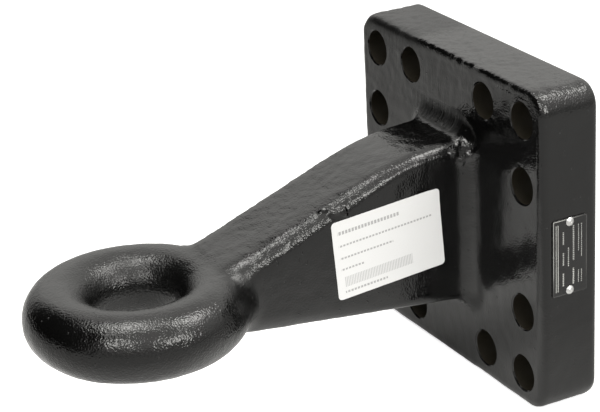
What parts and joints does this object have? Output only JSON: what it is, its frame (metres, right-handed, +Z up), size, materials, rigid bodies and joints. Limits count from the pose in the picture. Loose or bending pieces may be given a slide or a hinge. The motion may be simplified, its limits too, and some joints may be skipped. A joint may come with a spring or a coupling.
{
  "type": "drawbar eye",
  "caption": "Forged bolt-on drawbar eye: a round towing eye on a tapering shank, with a thick square flange drilled for bolts, a nailed type plate and a paper label.",
  "frame": {"origin": "centre of the flange's rear mounting face", "axes": "+Y out of the rear face, into the drawbar it bolts to; the eye lies towards -Y; +Z up along the eye's pin axis; +X is the side with the type plate and the label"},
  "size_m": [0.2021, 0.316, 0.2],
  "materials": {
    "black_paint": "semi-gloss black paint over as-forged steel",
    "plate_enamel": "semi-gloss black enamel on thin sheet",
    "nail_metal": "bright drawn metal",
    "label_paper": "matt coated off-white label paper"
  },
  "bodies": {
    "root": {"eye_forging": "black_paint", "type_plate": "plate_enamel", "upper_plate_nail": "nail_metal", "lower_plate_nail": "nail_metal", "paper_label": "label_paper"}
  },
  "joints": []
}
